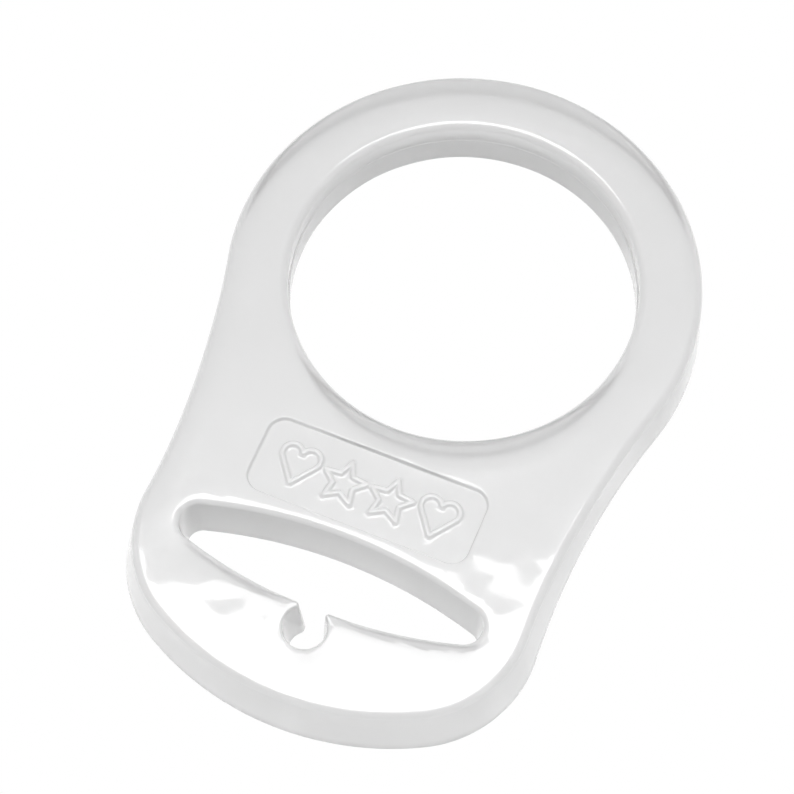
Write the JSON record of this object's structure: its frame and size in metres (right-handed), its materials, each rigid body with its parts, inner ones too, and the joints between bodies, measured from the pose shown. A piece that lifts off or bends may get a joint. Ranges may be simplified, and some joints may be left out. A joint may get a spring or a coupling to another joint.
{
  "type": "pacifier clip adapter ring",
  "caption": "Clear silicone adapter ring: a round bore that stretches over a pacifier's knob, and an oval strap slot with a keyhole notch in the bar below.",
  "frame": {"origin": "on the bore's axis, half way through the thickness", "axes": "+Z out of the face with the label panel, +Y from the strap bar towards the ring, +X across"},
  "size_m": [0.0306, 0.0457, 0.004],
  "materials": {
    "clear_silicone": "clear liquid silicone rubber, moulded smooth and slightly hazy"
  },
  "bodies": {
    "root": {"adapter_ring": "clear_silicone"}
  },
  "joints": []
}
